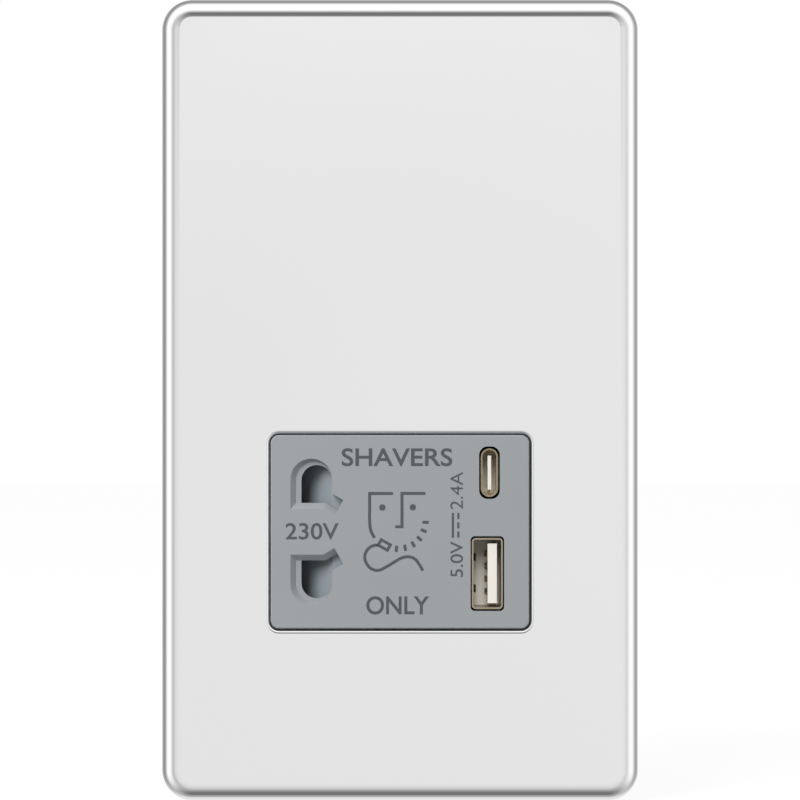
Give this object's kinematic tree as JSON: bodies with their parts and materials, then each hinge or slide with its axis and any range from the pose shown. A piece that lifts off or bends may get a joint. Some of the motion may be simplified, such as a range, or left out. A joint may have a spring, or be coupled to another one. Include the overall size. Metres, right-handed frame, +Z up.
{
  "type": "shaver socket",
  "caption": "Wall shaver supply outlet with shuttered two-pin apertures and two charging ports on a tall polished plate, with its isolating transformer in a rear housing.",
  "frame": {"origin": "centre of the front plate's outline, on the wall plane, midway between the two wall fixing screws", "axes": "+Z up the plate, +X to the right seen from the front, +Y into the wall"},
  "size_m": [0.088, 0.043, 0.148],
  "materials": {
    "polished_chrome": "mirror polished",
    "grey_front": "fine satin moulding",
    "black_frame": "moulded matt",
    "black_housing": "spark textured",
    "blue_grey_shutter": "smooth moulding",
    "white_insulator": "moulded nylon",
    "brass_strip": "rolled",
    "spring_steel": "drawn wire",
    "zinc_steel": "bright zinc plated",
    "nickel_shell": "nickel plated",
    "port_insulator": "white nylon",
    "gold_contact": "gold flash",
    "green_laminate": "solder mask",
    "core_steel": "stacked stampings",
    "bobbin_nylon": "glass filled nylon",
    "copper_wire": "enamelled",
    "yellow_tape": "polyester film",
    "black_component": "epoxy moulded",
    "capacitor_sleeve": "shrunk film sleeve",
    "blue_epoxy": "dipped epoxy",
    "ferrite": "ground",
    "tinned_pin": "tinned",
    "grey_terminal": "moulded nylon"
  },
  "bodies": {
    "base": {"front_plate": "polished_chrome", "carrier_frame": "black_frame", "socket_front": "grey_front", "shutter_spring": "spring_steel", "contact_carrier": "white_insulator", "upper_contact": "brass_strip", "lower_contact": "brass_strip", "switch_body": "black_component", "switch_pins": "tinned_pin", "charging_board": "green_laminate", "link_strip": "black_component", "link_pins": "tinned_pin", "usb_a_shell": "nickel_shell", "usb_a_tongue": "port_insulator", "usb_a_contacts": "gold_contact", "usb_c_shell": "nickel_shell", "usb_c_tongue": "port_insulator", "charger_core": "ferrite", "charger_coil": "yellow_tape", "large_capacitor": "capacitor_sleeve", "small_capacitor": "capacitor_sleeve", "fuse": "black_component", "surge_disc": "blue_epoxy", "control_chip": "black_component", "main_board": "green_laminate", "terminal_block": "grey_terminal", "terminal_cages": "brass_strip", "terminal_screws": "zinc_steel", "core_e_stack": "core_steel", "core_i_stack": "core_steel", "bobbin": "bobbin_nylon", "bobbin_pins": "tinned_pin", "primary_winding": "copper_wire", "secondary_winding": "copper_wire", "primary_tape": "yellow_tape", "secondary_tape": "yellow_tape", "thermal_cutout": "black_component", "core_screws": "zinc_steel", "rear_housing": "black_housing", "fixing_screws": "zinc_steel", "housing_screws": "zinc_steel", "board_screws": "zinc_steel", "carrier_screws": "zinc_steel", "port_board_screws": "zinc_steel"},
    "shutter": {"shutter": "blue_grey_shutter"},
    "switch_plunger": {"switch_plunger": "port_insulator"}
  },
  "joints": [
    {"name": "shutter_slide", "type": "slide", "parent": "base", "child": "shutter", "axis": [1, 0, 0], "range_m": [0, 0.0066], "stiffness_N_per_m": 120, "springref_m": -0.003, "deforming": ["shutter_spring"]},
    {"name": "switch_press", "type": "slide", "parent": "base", "child": "switch_plunger", "axis": [0, 1, 0], "range_m": [0, 0.00132]}
  ],
  "couplings": [
    {"joint": "switch_press", "follows": "shutter_slide", "ratio": 0.2}
  ]
}
